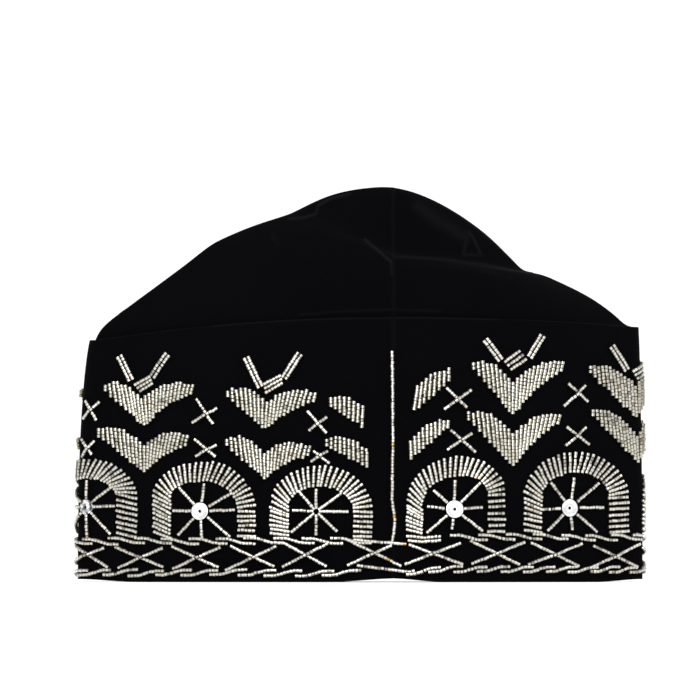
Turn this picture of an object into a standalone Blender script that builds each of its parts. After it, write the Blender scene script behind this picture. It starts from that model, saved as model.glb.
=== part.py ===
"""A velvet skullcap with a tall band and a soft folding crown, standing on its rim.

X runs to the right as seen from the front, Y runs away from the viewer, and Z is up. The origin is on the
floor under the middle of the cap. The two ends of the cap are sharp side folds, so its plan is a slim lens.
A seam down the middle of the front, over the top and down the back joins a left and a right half.
All sizes are in metres.
"""

import math
from collections import namedtuple

import bmesh
import bpy
import numpy as np
from mathutils import Matrix, Vector

# The band, which stands on the floor
CAP_WIDTH = 0.2755  # from side fold to side fold at the rim
BAND_DEPTH = 0.084  # from front to back at the rim, before the seam draws it in
BAND_HEIGHT = 0.1282  # from the floor to the band's top edge, at the seam
SEAM_OFFSET = 0.0162  # the seam is this far to the right of the middle
BAND_WALL = 0.0022  # velvet on its stiff backing
LEFT_CORNER_DROP = 0.0105  # how far the top edge runs down towards the left fold
RIGHT_CORNER_DROP = 0.0040  # and towards the right fold
SEAM_LIFT = 0.0018  # the rim rises off the floor at the seam
FOLD_LIFT = 0.0014  # and at the side folds

# The crown, which is sewn inside the band's top edge
CROWN_RISE = 0.0650  # from the band's top edge to the apex
CROWN_WALL = 0.0016
CROWN_TUCK = 0.0080  # the sewn-in margin that reaches down inside the band

CREASE_RADIUS = 0.0016  # inside radius of the tightest fold, where the crown is tucked into the band's fold

# The seam that both halves share
SEAM_GAP = 0.0003  # between the halves of the band, and between the crown and the band
SEAM_PINCH = 0.0030  # the seam draws the cloth in by this much
SEAM_PINCH_WIDTH = 0.0160

# The sequins, one at the hub of each beaded wheel
SEQUIN_DIAMETER = 0.0084
SEQUIN_THICKNESS = 0.0005
SEQUIN_HOLE = 0.0014
SEQUIN_HEIGHT = 0.0355  # from the floor to the hub
SEQUIN_STAND_OFF = 0.0003  # from the velvet to the back of the sequin
WHEEL_PITCH = 0.0580  # from hub to hub round the band
FIRST_LEFT_HUB = 0.0375  # from the front seam to the nearest hub on the left
FIRST_RIGHT_HUB = 0.0292
LAST_HUB_MARGIN = 0.0260  # no hub is nearer to the back seam than this

# How finely the cloth is divided
FACE_STEPS = 14  # from the seam to a side fold
FOLD_STEPS = 6  # round a side fold
ARC_STEPS = 240  # from the seam to a side fold, where a length is measured
SEQUIN_SIDES = 24
SLOPE_STEP = 0.02  # the share of the band's height over which its slope is read
LEVEL_PASSES = 3  # how often a hub is brought nearer to its height

FACE_BOW = 2.2  # the exponent of a face's bow: 2 is a plain arc, more is flatter in the middle
SEAM_NOTCH_SHARE = 0.20  # the rim lifts within this share of the face next to the seam
FOLD_NOTCH_SHARE = 0.16  # and within this share next to the side fold

LEFT = -1
RIGHT = 1
SIDE_NAMES = {LEFT: "left", RIGHT: "right"}
FIRST_HUB = {LEFT: FIRST_LEFT_HUB, RIGHT: FIRST_RIGHT_HUB}
BARE_HUBS = ((LEFT, 0),)  # the nearest hub on the left has lost its sequin

# The wheels were spaced by eye: how far a hub lies from its even place, round the band and up
HubSway = namedtuple("HubSway", "along up")
EVEN_HUB = HubSway(0.0, 0.0)
HUB_SWAY = {
    (LEFT, 1): HubSway(-0.0006, -0.0012),
    (LEFT, 2): HubSway(0.0018, 0.0010),
    (RIGHT, 0): HubSway(0.0003, -0.0003),
    (RIGHT, 1): HubSway(0.0003, 0.0004),
    (RIGHT, 2): HubSway(0.0034, 0.0),
    (RIGHT, 3): HubSway(0.0016, 0.0),
}
REACH = {LEFT: CAP_WIDTH / 2 + SEAM_OFFSET, RIGHT: CAP_WIDTH / 2 - SEAM_OFFSET}
CORNER_DROP = {LEFT: LEFT_CORNER_DROP, RIGHT: RIGHT_CORNER_DROP}
CROWN_FOLD_RADIUS = CREASE_RADIUS + CROWN_WALL  # outside radius of the crown's side ridge
SIDE_FOLD_RADIUS = CROWN_FOLD_RADIUS + SEAM_GAP + BAND_WALL  # outside radius of the fold at each end
FOLD_DEPTH_LIMIT = 0.8  # a fold's radius is at most this share of the course's depth

# Each row is one course of the band: its height as a share of the band's height, its reach from the seam to
# the left and the right fold as shares of the reach at the rim, and its depth as a share of half BAND_DEPTH.
BandRow = namedtuple("BandRow", "name height left_reach right_reach depth")
BAND_ROWS = (
    BandRow("rim", 0.00, 1.000, 1.000, 1.00),
    BandRow("low", 0.27, 0.998, 1.000, 0.985),
    BandRow("middle", 0.52, 0.996, 0.997, 0.95),
    BandRow("high", 0.78, 0.985, 0.992, 0.885),
    BandRow("shoulder", 0.93, 0.972, 0.988, 0.835),
    BandRow("top", 1.00, 0.962, 0.985, 0.805),
)

# Each row is one course of the crown. A reach is a share of the band's reach at the rim on that side, a rise
# is a share of CROWN_RISE above the band's top edge, and a depth is a share of half BAND_DEPTH, counted from
# the plane of the side folds. ridge is how far behind that plane the course's ends lie, fold is the fold's
# radius as a share of CROWN_FOLD_RADIUS, and sweep is the exponent with which the course runs up or down
# from the seam to its ends.
CrownRow = namedtuple(
    "CrownRow",
    "name left_reach left_rise right_reach right_rise front_depth front_rise back_depth back_rise"
    " ridge fold sweep",
)
CROWN_ROWS = (
    CrownRow("spring", 0.925, -0.060, 0.930, -0.050, 0.755, 0.050, 0.755, 0.050, 0.00, 1.00, 2.0),
    CrownRow("lower", 0.859, 0.060, 0.891, 0.030, 0.745, 0.140, 0.745, 0.140, 0.00, 1.00, 1.8),
    CrownRow("haunch", 0.773, 0.211, 0.806, 0.150, 0.720, 0.230, 0.720, 0.240, 0.00, 1.00, 1.6),
    CrownRow("middle", 0.668, 0.392, 0.713, 0.240, 0.685, 0.320, 0.675, 0.350, 0.00, 1.00, 1.4),
    CrownRow("upper", 0.591, 0.543, 0.647, 0.297, 0.650, 0.390, 0.630, 0.450, 0.00, 1.00, 1.3),
    CrownRow("high", 0.540, 0.611, 0.604, 0.332, 0.612, 0.430, 0.580, 0.540, 0.00, 1.00, 1.2),
    CrownRow("brow", 0.418, 0.725, 0.557, 0.351, 0.570, 0.452, 0.525, 0.620, 0.00, 1.05, 1.1),
    CrownRow("fold_edge", 0.329, 0.785, 0.520, 0.362, 0.535, 0.468, 0.480, 0.690, 0.01, 1.10, 1.1),
    CrownRow("fold_foot", 0.300, 0.822, 0.490, 0.425, 0.385, 0.500, 0.440, 0.750, 0.04, 1.30, 1.1),
    CrownRow("dome_low", 0.214, 0.925, 0.384, 0.630, 0.315, 0.670, 0.370, 0.850, 0.05, 1.50, 1.3),
    CrownRow("dome_high", 0.144, 0.968, 0.236, 0.830, 0.215, 0.860, 0.300, 0.930, 0.06, 1.50, 1.5),
    CrownRow("dome_top", 0.075, 0.988, 0.113, 0.938, 0.090, 0.965, 0.205, 0.980, 0.06, 0.90, 1.5),
)
APEX_RIDGE = 0.055  # how far behind the plane of the folds the apex lies, as a share of half BAND_DEPTH

VELVET_BLACK = (0.0035, 0.0035, 0.0042, 1.0)
SEQUIN_SILVER = (0.86, 0.87, 0.88, 1.0)


def clear_scene():
    for thing in list(bpy.data.objects):
        bpy.data.objects.remove(thing, do_unlink=True)


def make_material(name, colour, roughness, metallic):
    material = bpy.data.materials.new(name)
    material.use_nodes = True
    shader = material.node_tree.nodes["Principled BSDF"]
    shader.inputs["Base Color"].default_value = colour
    shader.inputs["Roughness"].default_value = roughness
    shader.inputs["Metallic"].default_value = metallic
    material.diffuse_color = colour
    return material


def smooth_step(share):
    held = min(max(share, 0.0), 1.0)
    return held * held * (3.0 - 2.0 * held)


def face_shares(steps):
    """Shares of the way from the seam to a fold, a little closer together at both ends."""
    even = np.linspace(0.0, 1.0, steps + 1)
    return (even + (1.0 - np.cos(math.pi * even)) / 2.0) / 2.0


def plan_outline(reach, front, back, radius, steps=FACE_STEPS):
    """One half of a course in plan, from the front seam round the side fold to the back seam.

    Each column is (share of the way to the fold, distance from the seam, Y, outward normal). The two faces
    are bowed curves that would meet at a point, and the fold's radius is laid round them.
    """
    straight = reach - radius
    columns = []

    def face(bow, facing, shares):
        for share in shares:
            slope = bow * FACE_BOW * share ** (FACE_BOW - 1.0)
            normal = np.array([slope, facing * straight])
            normal /= np.linalg.norm(normal)
            spine_y = facing * bow * (1.0 - share**FACE_BOW)
            columns.append((share, share * straight, spine_y, normal))

    shares = face_shares(steps)
    face(front - radius, -1.0, shares)
    start = math.atan2(columns[-1][3][1], columns[-1][3][0])
    end = math.atan2(straight, (back - radius) * FACE_BOW)
    for step in range(1, FOLD_STEPS):
        angle = start + (end - start) * step / FOLD_STEPS
        columns.append((1.0, straight, 0.0, np.array([math.cos(angle), math.sin(angle)])))
    face(back - radius, 1.0, shares[::-1])

    outline = []
    for share, distance, y, normal in columns:
        pinch = SEAM_PINCH * math.exp(-((distance / SEAM_PINCH_WIDTH) ** 2))
        toward_middle = -math.copysign(min(pinch, abs(y) / 2.0), y)
        outline.append((share, distance + radius * normal[0], y + toward_middle + radius * normal[1], normal))
    return outline


def rim_height(share):
    """The rim is flat on the floor, apart from a lift at the seam and at the side folds."""
    at_seam = 1.0 - smooth_step(share / SEAM_NOTCH_SHARE)
    at_fold = smooth_step((share - 1.0 + FOLD_NOTCH_SHARE) / FOLD_NOTCH_SHARE)
    return SEAM_LIFT * at_seam + FOLD_LIFT * at_fold


def top_height(side, share):
    return BAND_HEIGHT - CORNER_DROP[side] * share**2


def band_row_at(height_share):
    """Reach on the left and the right, and depth, at any share of the band's height."""
    heights = [row.height for row in BAND_ROWS]
    return {
        LEFT: float(np.interp(height_share, heights, [row.left_reach for row in BAND_ROWS])),
        RIGHT: float(np.interp(height_share, heights, [row.right_reach for row in BAND_ROWS])),
        "depth": float(np.interp(height_share, heights, [row.depth for row in BAND_ROWS])),
    }


def band_course(side, height_share, inset=0.0, steps=FACE_STEPS):
    """Points of one half of the band at a share of its height, set in from its outer face."""
    row = band_row_at(height_share)
    depth = row["depth"] * BAND_DEPTH / 2.0
    outline = plan_outline(row[side] * REACH[side], depth, depth, SIDE_FOLD_RADIUS, steps)
    points = []
    for share, distance, y, normal in outline:
        bottom = rim_height(share)
        z = bottom + height_share * (top_height(side, share) - bottom)
        x = SEAM_OFFSET + side * (distance - inset * normal[0])
        points.append(Vector((x, y - inset * normal[1], z)))
    return points


def crown_course(side, row):
    """Points of one half of one course of the crown's outer face."""
    half_depth = BAND_DEPTH / 2.0
    ridge = row.ridge * half_depth
    reach = (row.left_reach if side == LEFT else row.right_reach) * REACH[side]
    end_rise = row.left_rise if side == LEFT else row.right_rise
    front = row.front_depth * half_depth + ridge
    back = row.back_depth * half_depth - ridge
    radius = min(row.fold * CROWN_FOLD_RADIUS, FOLD_DEPTH_LIMIT * front, FOLD_DEPTH_LIMIT * back)
    outline = plan_outline(reach, front, back, radius)
    points = []
    for share, distance, y, _normal in outline:
        seam_rise = row.front_rise if y < 0.0 else row.back_rise
        rise = seam_rise + (end_rise - seam_rise) * share**row.sweep
        points.append(Vector((SEAM_OFFSET + side * distance, y + ridge, BAND_HEIGHT + rise * CROWN_RISE)))
    return points


def inward_offset(courses, wall, apex):
    """The inner face: every point of the outer face moved in by the wall, square to the cloth."""
    count = len(courses[0])
    inner = []
    for index, course in enumerate(courses):
        below = courses[max(index - 1, 0)]
        above = courses[index + 1] if index + 1 < len(courses) else [apex] * count
        moved = []
        for column, point in enumerate(course):
            along = course[min(column + 1, count - 1)] - course[max(column - 1, 0)]
            upward = above[column] - below[column]
            normal = along.cross(upward)
            if column in (0, count - 1):
                normal.x = 0.0
            # A left half runs the other way round, so its cross product points in.
            outward = normal.normalized() * (1.0 if course[count // 2].x > SEAM_OFFSET else -1.0)
            moved.append(point - outward * wall)
        inner.append(moved)
    return inner


def build_shell(name, side, outer, inner, material, apexes=None):
    """One closed solid between an outer and an inner face. Courses run from the bottom up.

    With apexes, an (outer, inner) pair of points, the courses close over the top at those points.
    """
    seam_x = SEAM_OFFSET + side * SEAM_GAP / 2.0
    count = len(outer[0])
    mesh = bmesh.new()

    def place(point, on_seam):
        return mesh.verts.new((seam_x if on_seam else point.x, point.y, point.z))

    skins = []
    for courses in (outer, inner):
        skins.append([[place(p, c in (0, count - 1)) for c, p in enumerate(course)] for course in courses])
    outside, inside = skins
    for row in range(len(outer) - 1):
        for column in range(count - 1):
            for skin in skins:
                low, high = skin[row], skin[row + 1]
                mesh.faces.new((low[column], low[column + 1], high[column + 1], high[column]))
        for column in (0, count - 1):
            mesh.faces.new(
                (outside[row][column], outside[row + 1][column], inside[row + 1][column], inside[row][column])
            )
    for column in range(count - 1):
        mesh.faces.new((outside[0][column], outside[0][column + 1], inside[0][column + 1], inside[0][column]))
    if apexes is None:
        top, under = outside[-1], inside[-1]
        for column in range(count - 1):
            mesh.faces.new((top[column], top[column + 1], under[column + 1], under[column]))
    else:
        peaks = [place(apex, True) for apex in apexes]
        for skin, peak in zip(skins, peaks):
            for column in range(count - 1):
                mesh.faces.new((skin[-1][column], skin[-1][column + 1], peak))
        for column in (0, count - 1):
            mesh.faces.new((outside[-1][column], peaks[0], peaks[1], inside[-1][column]))
    bmesh.ops.recalc_face_normals(mesh, faces=mesh.faces)
    return link_mesh(name, mesh, material)


def link_mesh(name, mesh, material):
    data = bpy.data.meshes.new(name)
    mesh.to_mesh(data)
    mesh.free()
    data.materials.append(material)
    data.shade_smooth()
    data.set_sharp_from_angle(angle=math.radians(40.0))
    made = bpy.data.objects.new(name, data)
    bpy.context.scene.collection.objects.link(made)
    return made


def build_band_half(name, side, material):
    outer = [band_course(side, row.height) for row in BAND_ROWS]
    inner = [band_course(side, row.height, inset=BAND_WALL) for row in BAND_ROWS]
    return build_shell(name, side, outer, inner, material)


def build_crown_half(name, side, material):
    """The crown starts inside the band, at the tuck's lower edge, and follows the band to its top edge."""
    tuck_start = 1.0 - CROWN_TUCK / BAND_HEIGHT
    seat = BAND_WALL + SEAM_GAP
    outer = [band_course(side, tuck_start, inset=seat), band_course(side, 1.0, inset=seat)]
    outer += [crown_course(side, row) for row in CROWN_ROWS]
    apex = Vector((SEAM_OFFSET, APEX_RIDGE * BAND_DEPTH / 2.0, BAND_HEIGHT + CROWN_RISE))
    inner = inward_offset(outer, CROWN_WALL, apex)
    for column, point in enumerate(band_course(side, tuck_start, inset=seat + CROWN_WALL)):
        inner[0][column] = point
    under = apex - Vector((0.0, 0.0, CROWN_WALL))
    return build_shell(name, side, outer, inner, material, apexes=(apex, under))


def hub_places(side):
    """The numbers of the hubs on one half that have a sequin, counted from the front seam."""
    course = band_course(side, SEQUIN_HEIGHT / BAND_HEIGHT, steps=ARC_STEPS)
    length = sum((course[i + 1] - course[i]).length for i in range(len(course) - 1))
    count = int((length - LAST_HUB_MARGIN - FIRST_HUB[side]) / WHEEL_PITCH) + 1
    return [place for place in range(count) if (side, place) not in BARE_HUBS]


def point_on_course(side, distance, share):
    """The point and the outward normal on one course of the band, a distance round it from the front seam."""
    course = band_course(side, share, steps=ARC_STEPS)
    above = band_course(side, share + SLOPE_STEP, steps=ARC_STEPS)
    travelled = 0.0
    for column in range(1, len(course)):
        step = course[column] - course[column - 1]
        if travelled + step.length >= distance:
            point = course[column - 1] + step * ((distance - travelled) / step.length)
            upward = above[column] - course[column]
            normal = step.cross(upward).normalized() * side
            return point, normal
        travelled += step.length
    raise ValueError("that distance is longer than the half band")


def point_round_band(side, distance, height):
    """The point and the outward normal on the band at a distance and a height, wherever its top edge lies."""
    share = height / BAND_HEIGHT
    for _pass in range(LEVEL_PASSES):
        share *= height / point_on_course(side, distance, share)[0].z
    return point_on_course(side, distance, share)


def build_sequin(name, side, distance, height, material):
    """A flat disc with a hole in the middle, turned about its own axis and laid on the band."""
    point, normal = point_round_band(side, distance, height)
    hole, rim = SEQUIN_HOLE / 2.0, SEQUIN_DIAMETER / 2.0
    mesh = bmesh.new()
    corners = ((hole, 0.0), (rim, 0.0), (rim, SEQUIN_THICKNESS), (hole, SEQUIN_THICKNESS))
    profile = [mesh.verts.new((radius, 0.0, z)) for radius, z in corners]
    edges = [mesh.edges.new((profile[i], profile[(i + 1) % len(profile)])) for i in range(len(profile))]
    bmesh.ops.spin(
        mesh, geom=profile + edges, axis=(0, 0, 1), cent=(0, 0, 0), angle=2.0 * math.pi, steps=SEQUIN_SIDES
    )
    bmesh.ops.remove_doubles(mesh, verts=mesh.verts, dist=1e-6)
    bmesh.ops.recalc_face_normals(mesh, faces=mesh.faces)
    made = link_mesh(name, mesh, material)
    made.matrix_world = (
        Matrix.Translation(point + normal * SEQUIN_STAND_OFF) @ normal.to_track_quat("Z", "Y").to_matrix().to_4x4()
    )
    return made


def main():
    clear_scene()
    velvet = make_material("velvet", VELVET_BLACK, 0.95, 0.0)
    foil = make_material("sequin_foil", SEQUIN_SILVER, 0.2, 0.9)
    for side, word in SIDE_NAMES.items():
        build_band_half(f"band_{word}", side, velvet)
        build_crown_half(f"crown_{word}", side, velvet)
        for place in hub_places(side):
            sway = HUB_SWAY.get((side, place), EVEN_HUB)
            distance = FIRST_HUB[side] + place * WHEEL_PITCH + sway.along
            build_sequin(f"sequin_{word}_{place + 1}", side, distance, SEQUIN_HEIGHT + sway.up, foil)


main()
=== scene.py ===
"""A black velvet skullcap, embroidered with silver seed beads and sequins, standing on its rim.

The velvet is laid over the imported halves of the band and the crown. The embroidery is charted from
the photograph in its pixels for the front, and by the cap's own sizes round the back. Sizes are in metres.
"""

import math
import random
from collections import namedtuple

import bpy
import numpy as np
from mathutils import Matrix, Vector, noise
from mathutils.bvhtree import BVHTree


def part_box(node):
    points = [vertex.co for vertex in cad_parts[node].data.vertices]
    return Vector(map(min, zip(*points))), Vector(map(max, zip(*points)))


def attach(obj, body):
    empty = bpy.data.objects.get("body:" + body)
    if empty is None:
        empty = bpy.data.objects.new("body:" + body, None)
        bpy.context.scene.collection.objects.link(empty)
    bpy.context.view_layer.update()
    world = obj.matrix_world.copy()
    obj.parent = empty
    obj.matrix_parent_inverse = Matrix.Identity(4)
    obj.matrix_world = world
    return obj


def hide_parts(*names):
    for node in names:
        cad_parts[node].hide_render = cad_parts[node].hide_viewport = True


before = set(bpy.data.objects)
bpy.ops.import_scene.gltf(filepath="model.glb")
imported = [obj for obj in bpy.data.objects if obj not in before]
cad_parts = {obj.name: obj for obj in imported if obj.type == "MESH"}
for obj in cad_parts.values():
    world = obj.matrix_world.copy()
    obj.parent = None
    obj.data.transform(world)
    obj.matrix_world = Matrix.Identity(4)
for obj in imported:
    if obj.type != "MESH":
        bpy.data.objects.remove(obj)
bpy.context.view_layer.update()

# The photograph and the camera that matches it
PHOTO_PIXELS = 700
PHOTO_WIDTH = 0.3414  # what the photograph spans, from side to side, at the plane of the side folds
PIXEL = PHOTO_WIDTH / PHOTO_PIXELS
CAMERA_SENSOR = 36.0
CAMERA_AT = Vector((-0.0049, -4.0, 0.012))
CAMERA_AIM = Vector((-0.0049, 0.0, 0.1131))

# The velvet
SMOOTH_LEVELS = 3
MERGE_REACH = 0.00001
QUAD_BEND = math.radians(40.0)
QUAD_SKEW = math.radians(60.0)
CORNER_ANGLE = math.radians(70.0)  # the cut edges of the wall are sharper than this
ROLLED_EDGE = {"band": 0.0008, "crown": 0.0006}  # the radius of a turned edge
ROLLED_SEGMENTS = 2
ROLLED_ANGLE = math.radians(60.0)
WAVE_SIZE = 0.045  # the cloth waves softly at this scale
WAVE_HEIGHT = 0.0010
PUCKER_SIZE = 0.011
PUCKER_HEIGHT = 0.00022
WAVE_WAY = (0.3, 1.0, 0.35)  # mostly to and fro, because the halves meet in a plane
RIM_STILL = 0.004  # up to this height the cloth doesn't wave
RIM_EASE = 0.012  # and over this much more the waves grow
SEAM_SHUT = 0.00022  # each half is drawn over to the seam by this much
SEAM_SHUT_WIDTH = 0.002
SEAM_SHEEN = 0.20  # how much painted sheen lies along the seam
SEAM_SHEEN_WIDTH = 0.0007
TOP_EDGE_SHEEN = 0.35  # and on the upward face of the band's turned top edge
TOP_EDGE_TURN = 0.3  # the least upward part of the normal on that edge that takes the painted sheen
FULL_SHEEN_HEIGHT = 0.0010  # a crease this high takes the full painted sheen on its crest
FRONT_FACE = -0.001  # the front face lies in front of this Y

# A crease in the velvet: its line in the photograph, how far it stands out or sinks in, and its half width
Crease = namedtuple("Crease", "line height width")
CREASES = (
    Crease(((365, 240), (377, 250), (391, 262)), 0.0007, 0.0007),  # left of the seam
    Crease(((391, 262), (392, 274)), 0.0004, 0.0009),  # foot of the left crease
    Crease(((394, 261), (440, 263), (486, 269), (512, 275)), -0.0006, 0.0014),  # under the right fold
    Crease(((394, 257), (440, 259), (486, 265), (512, 271)), 0.0003, 0.0007),  # edge of the right fold
    Crease(((290, 219), (304, 218), (316, 214), (318, 206)), 0.0006, 0.0007),  # dome, left edge low
    Crease(((318, 206), (330, 199), (350, 194)), 0.0006, 0.0007),  # dome, left edge high
    Crease(((463, 253), (466, 243), (469, 232)), 0.0006, 0.0006),  # wrinkle, left leg
    Crease(((469, 232), (475, 242), (481, 255)), 0.0006, 0.0006),  # wrinkle, right leg
    Crease(((463, 255), (481, 255)), 0.0004, 0.0006),  # wrinkle, foot
    Crease(((417, 209), (438, 229), (461, 251)), -0.0005, 0.0022),  # long slant on the dome
    Crease(((418, 206), (440, 222), (463, 236)), 0.0003, 0.0030),  # soft fold on the dome
    Crease(((300, 315), (350, 311), (392, 310), (440, 311)), 0.0002, 0.0007),  # fold over the band
    Crease(((272, 235), (278, 245)), 0.0002, 0.0008),  # left slope
)

BACK_CREASES = (  # in the same pixels, as if the camera saw through the cap
    Crease(((391, 258), (402, 249), (416, 243)), 0.0006, 0.0008),  # right of the seam
    Crease(((390, 266), (350, 262), (306, 270), (276, 280)), -0.0005, 0.0016),  # across the left half
    Crease(((390, 261), (350, 257), (306, 265), (276, 275)), 0.0003, 0.0008),  # over the left half
    Crease(((300, 226), (318, 213), (340, 206)), 0.0005, 0.0008),  # dome, left
    Crease(((430, 214), (452, 226), (470, 243)), -0.0005, 0.0020),  # dome, right
    Crease(((436, 262), (470, 268), (508, 280)), 0.0004, 0.0010),  # dome, foot
    Crease(((320, 313), (392, 310), (460, 312)), 0.0002, 0.0007),  # fold over the band
)

# Seed beads
BEAD_SIDES = 8
BEAD_PITCH = 0.00165
BEAD_LENGTH = 0.00162
BEAD_DIAMETER = 0.00194
PACKED_DIAMETER = 0.00211  # in a leaf the strings nearly touch
BEAD_NOSE = 0.09  # the length of each rounded end, as a share of the bead
BEAD_FACE = 0.13  # how much each end narrows, as a share of the diameter
END_TURN = 0.9  # a face of the bead is an end when its normal runs along Z by this share
NOSE_ANGLE = math.radians(50.0)
Flank = namedtuple("Flank", "dull clean shade")  # the cosines to the cloth's normal at which the painted shade on a bead's flank is full and at which it ends; shade: the colour of that painted shade
PACKED_PAINTED_SHADE = Flank(0.74, 1.00, (0.27, 0.25, 0.175))  # in a leaf the painted shade is lighter, standing in for the light that the neighbouring beads throw
LONE_PAINTED_SHADE = Flank(0.52, 0.98, (0.105, 0.092, 0.066))  # beside a single string the painted shade is darker, standing in for the black velvet that the flanks mirror
BEAD_SPREAD = 0.05  # how much one bead differs from the next
BEAD_SEAT = 0.86  # the middle of a bead stands this share of its radius off the velvet
BEAD_STRAY = 0.00006
STRING_LIFT = 0.00015  # a string bows off the cloth by this much in its middle
STRETCHED = 1.03  # from this stretch on the beads are counted along their own line
CROSSING_LIFT = 0.00165
CROSSING_REACH = 0.0030
COLUMN_PITCH = 0.00212  # from one string to the next inside a leaf
STRING_SEED = 11
LEAF_STRAY = 0.00035  # how far the ends of a leaf's strings stray up and down
BEAD_DIMMEST = 0.86
BeadColour = namedtuple("BeadColour", "up_to colour")  # up_to: a draw below this picks the colour
BEAD_COLOURS = (
    BeadColour(0.10, (0.84, 0.78, 0.66)),  # warm
    BeadColour(0.16, (0.50, 0.48, 0.44)),  # grey
    BeadColour(1.00, (0.96, 0.95, 0.895)),  # bright
)
GOLD = (0.80, 0.42, 0.05, 1.0)

# The pattern plane is the cloth laid flat: along from the front seam, to the photograph's right, and up
SEAM_PIXEL = 393  # the front seam
SAFE_PIXELS = (89.0, 631.0)  # between these the camera sees the cloth, beyond them the chart is carried on
SAFE_STEP = 0.5  # a pixel that misses the cloth is moved in by this much at a time
COURSES = 46  # how finely the band is measured, from the rim up
FACE_COLUMNS = 150
FOLD_COLUMNS = 26
LOW_COURSE = 0.0034
HIGH_COURSE = 0.1215
SEAM_MARGIN = 0.0012  # beside a seam the cloth is measured from here on, clear of its turned edge
STRAY_HIT = 0.007  # a hit this far from the one below it has missed the band's outer face
FAR_OUT = 0.2  # the cloth is measured from here
FOLD_REACH = 0.006  # a side fold is measured round a line this far inside its tip
FOLD_LEAST = 0.1  # and its tip is at least this far from the middle
NORMAL_REACH = 0.0011  # the cloth's normal is taken over this reach to each side
MIDDLE_COURSE = 0.03  # the half's length is measured at this height
BORDER_COURSE = 0.01  # and the border's at this one

# The wheels, in pixels beside and above the hub. The arch's halves spring from their own heights. The strings
# of a leg sink towards the hub by an angle at the leg's head, and by another at its foot.
Arch = namedtuple(
    "Arch", "left left_inner apex right_inner right top top_inner left_spring right_spring foot",
)
Strings = namedtuple("Strings", "left_pitch arch_count right_pitch left_lean foot_lean right_lean")
HUB_CLEAR = 9.2  # from the hub to a spoke's first bead
CRUSHED_HUB_CLEAR = 7.2
BARE_HUB_CLEAR = 2.5
Wheel = namedtuple("Wheel", "clear arch strings spokes")  # a spoke: its angle in degrees, and its reach
WHEELS = {  # by the side of the seam, and counted from it
    (-1, 2): Wheel(
        CRUSHED_HUB_CLEAR,
        Arch(-49.5, -30.0, 2.5, 30.5, 51.5, 48.4, 28.5, 8.0, 8.0, -31.0),
        Strings(4.9, 25, 5.2, 24.0, 15.0, -14.0),
        ((2, 29.5), (38, 33.0), (88, 27.0), (138, 29.0), (180, 27.0), (228, 34.0), (272, 32.0), (312, 37.0)),
    ),
    (-1, 1): Wheel(
        HUB_CLEAR,
        Arch(-47.4, -29.1, 4.0, 36.7, 55.4, 50.1, 29.8, 15.6, -0.4, -26.4),
        Strings(4.9, 25, 4.8, 28.0, 24.0, -2.0),
        ((2, 34.4), (30, 37.0), (82, 28.0), (132, 32.4), (179, 28.0), (227, 33.3), (273, 28.0), (319, 39.7)),
    ),
    (-1, 0): Wheel(
        BARE_HUB_CLEAR,
        Arch(-46.0, -26.9, 4.9, 36.6, 55.9, 46.4, 25.0, 4.6, -0.4, -25.0),
        Strings(4.6, 25, 4.9, 22.0, 5.0, -2.0),
        ((0, 32.5), (36, 31.7), (90, 23.0), (130, 27.4), (177, 24.0), (220, 32.9), (270, 23.7), (316, 29.2)),
    ),
    (1, 0): Wheel(
        HUB_CLEAR,
        Arch(-47.9, -31.0, 7.4, 32.9, 50.4, 53.0, 33.2, 4.7, 14.7, -24.5),
        Strings(4.5, 25, 6.1, 30.0, 15.0, 2.0),
        ((4, 27.9), (46, 37.4), (89, 29.3), (137, 28.5), (174, 27.1), (221, 36.6), (263, 21.1), (322, 35.7)),
    ),
    (1, 1): Wheel(
        HUB_CLEAR,
        Arch(-46.1, -27.6, 6.1, 38.2, 58.2, 56.0, 35.2, 11.0, 11.0, -24.0),
        Strings(5.7, 26, 5.8, 24.0, 8.0, 4.0),
        ((1, 33.6), (41, 38.3), (82, 30.8), (127, 32.1), (183, 28.7), (226, 32.5), (276, 22.4), (318, 36.3)),
    ),
}
EVEN_WHEEL = Wheel(  # round the back
    HUB_CLEAR,
    Arch(-47.0, -28.5, 5.5, 35.5, 54.5, 51.5, 31.0, 9.0, 6.0, -25.0),
    Strings(5.0, 25, 5.2, 24.0, 12.0, 0.0),
    ((1, 31.5), (38, 35.5), (86, 27.5), (133, 30.0), (179, 27.0), (224, 34.0), (271, 25.5), (317, 35.5)),
)
FOLD_ARCH = EVEN_WHEEL.arch._replace(left=-40.0, left_inner=-22.5)  # round the right fold it starts later
WHEELS[1, 2] = EVEN_WHEEL._replace(arch=FOLD_ARCH)
LEAN_SHARE = 0.80  # the lean of the left leg dies away within this share of the arch
ARCH_STEPS = 91  # how finely the arch is measured
STRING_ASIDE = 0.35  # how far the ends of a wheel's strings stray to the side
STRING_BEYOND = 0.4  # and along the string
BARE_HUB = (316.2, 511.6)  # in pixels of the photograph

# The leaves and the chevrons. Each row of a chart begins with four places, in pixels of the photograph
Chevron = namedtuple("Chevron", "left_x left_y notch_x notch_y point_x point_y right_x right_y")
CHEVRONS = (
    Chevron(106.5, 383.8, 142.0, 398.5, 145.4, 426.3, 193.7, 385.0),
    Chevron(100.0, 428.3, 145.3, 445.3, 145.3, 472.8, 188.4, 436.0),
    Chevron(228.4, 389.6, 267.7, 402.1, 265.6, 429.8, 315.9, 393.0),
    Chevron(227.5, 438.3, 264.6, 452.6, 265.0, 479.4, 310.5, 446.3),
    Chevron(473.2, 362.1, 512.6, 382.1, 512.0, 415.5, 562.3, 362.1),
    Chevron(468.3, 412.4, 512.0, 433.0, 512.6, 467.0, 559.2, 414.8),
    Chevron(589.5, 365.8, 634.4, 385.8, 635.6, 417.9, 682.0, 367.0),
    Chevron(592.0, 408.8, 636.2, 435.5, 638.0, 462.7, 684.0, 412.0),
)
TIP_LENGTH = 8.3  # a chevron's first and last string, in pixels
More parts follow.
